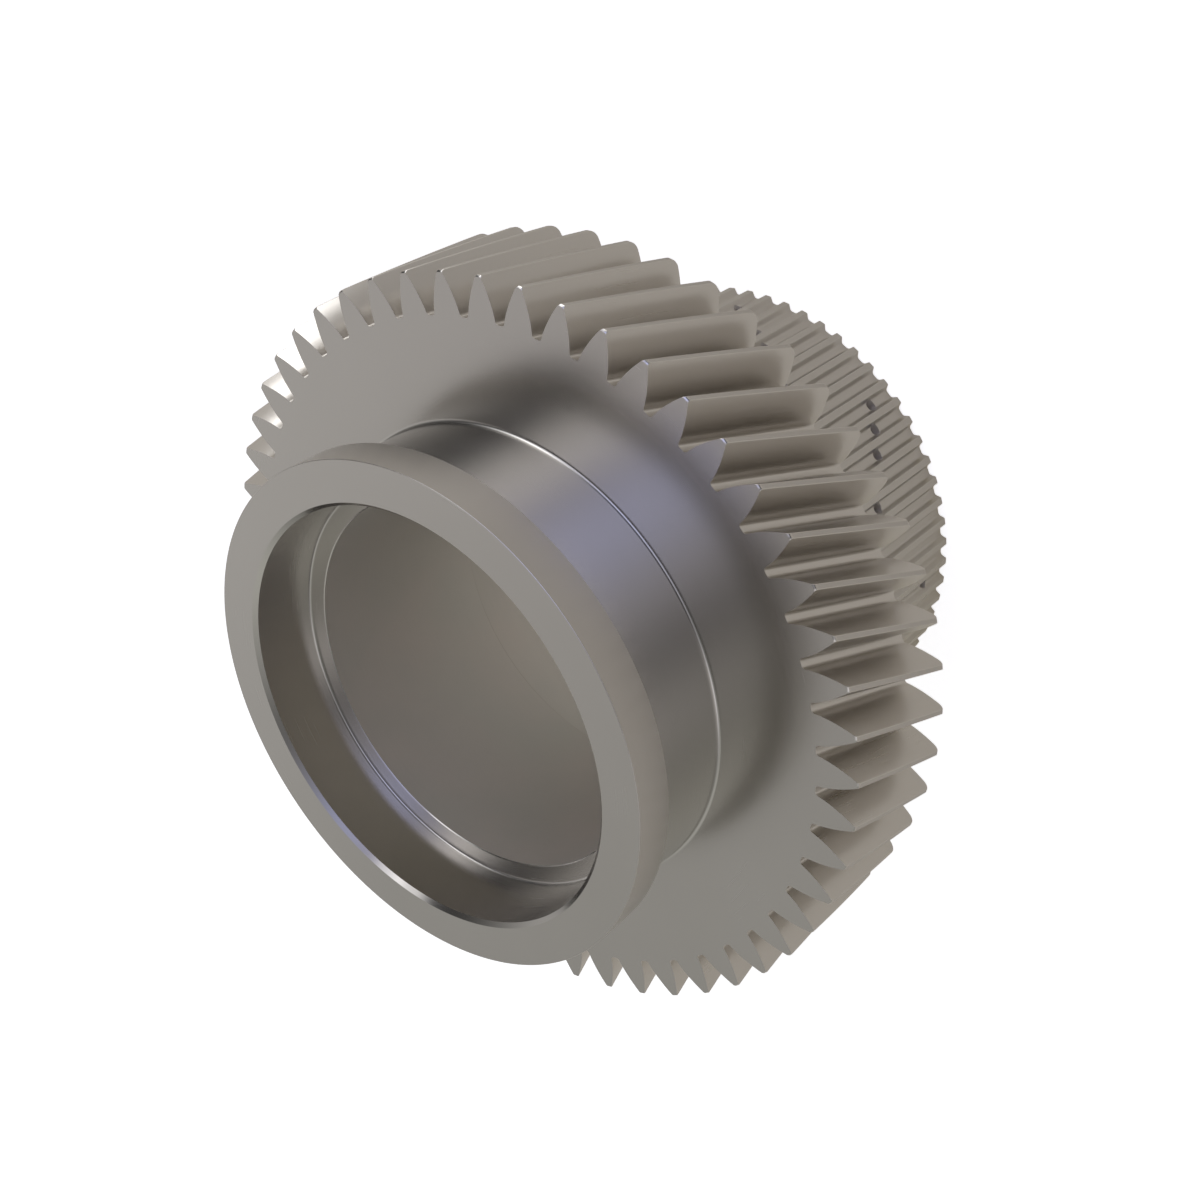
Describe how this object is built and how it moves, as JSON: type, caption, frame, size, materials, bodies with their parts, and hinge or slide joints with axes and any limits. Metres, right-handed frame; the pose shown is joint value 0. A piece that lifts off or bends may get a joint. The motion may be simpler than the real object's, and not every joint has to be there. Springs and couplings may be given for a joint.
{
  "type": "transmission gear",
  "caption": "Compound helical gear in satin steel, with a stepped bore, a collared bearing hub on one side and a long splined clutch hub with oil holes on the other.",
  "frame": {"origin": "centre of the bore at the splined end, which the gear stands on", "axes": "+Z along the bore, from the splined end towards the bearing hub; +X through the middle of a helical tooth at its hub-side face"},
  "size_m": [0.135, 0.135, 0.0955],
  "materials": {
    "satin_steel": "satin, fine turned and ground marks"
  },
  "bodies": {
    "root": {"gear": "satin_steel"}
  },
  "joints": []
}
